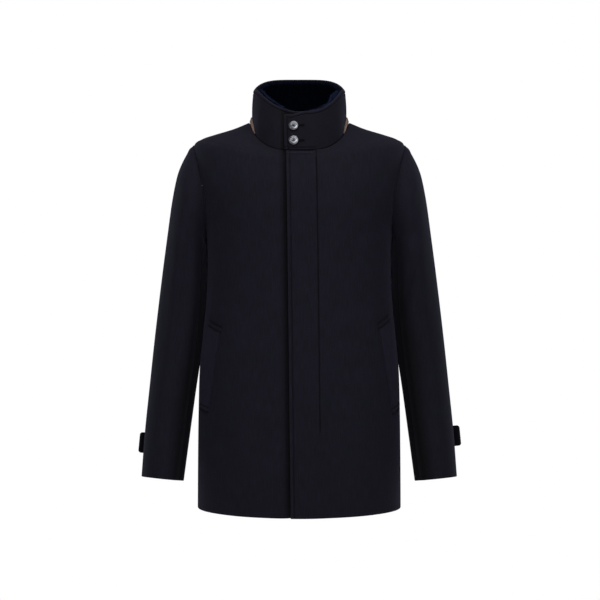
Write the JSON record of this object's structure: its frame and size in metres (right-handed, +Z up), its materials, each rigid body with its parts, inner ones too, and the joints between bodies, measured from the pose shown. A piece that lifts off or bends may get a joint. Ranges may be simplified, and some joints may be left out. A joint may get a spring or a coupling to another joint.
{
  "type": "short coat",
  "caption": "Hip-length wool coat in its hollow worn form: buttoned stand collar with pile lining, covered front opening, slanted welt pockets and strapped cuffs.",
  "frame": {"origin": "midway between the two neck points, where the shoulder seams meet the collar: the wearer holds the coat up there", "axes": "+X to the wearer's left, -Y to the front, +Z up"},
  "size_m": [0.6653, 0.2875, 0.8886],
  "materials": {
    "navy_wool": "brushed wool twill, matt with a faint sheen",
    "navy_pile": "short dense pile",
    "tan_suede": "matt, napped",
    "grey_shell": "polished pale blue-grey"
  },
  "bodies": {
    "root": {"front_left": "navy_wool", "front_right": "navy_wool", "back": "navy_wool", "sleeve_left_upper": "navy_wool", "sleeve_left_under": "navy_wool", "sleeve_right_upper": "navy_wool", "sleeve_right_under": "navy_wool", "collar": "navy_wool", "collar_pile": "navy_pile", "collar_band": "tan_suede", "pocket_welt_left": "navy_wool", "pocket_welt_right": "navy_wool", "cuff_strap_left": "navy_wool", "cuff_strap_right": "navy_wool", "button_collar_upper": "grey_shell", "button_collar_lower": "grey_shell", "button_cuff_left": "grey_shell", "button_cuff_right": "grey_shell"}
  },
  "joints": []
}
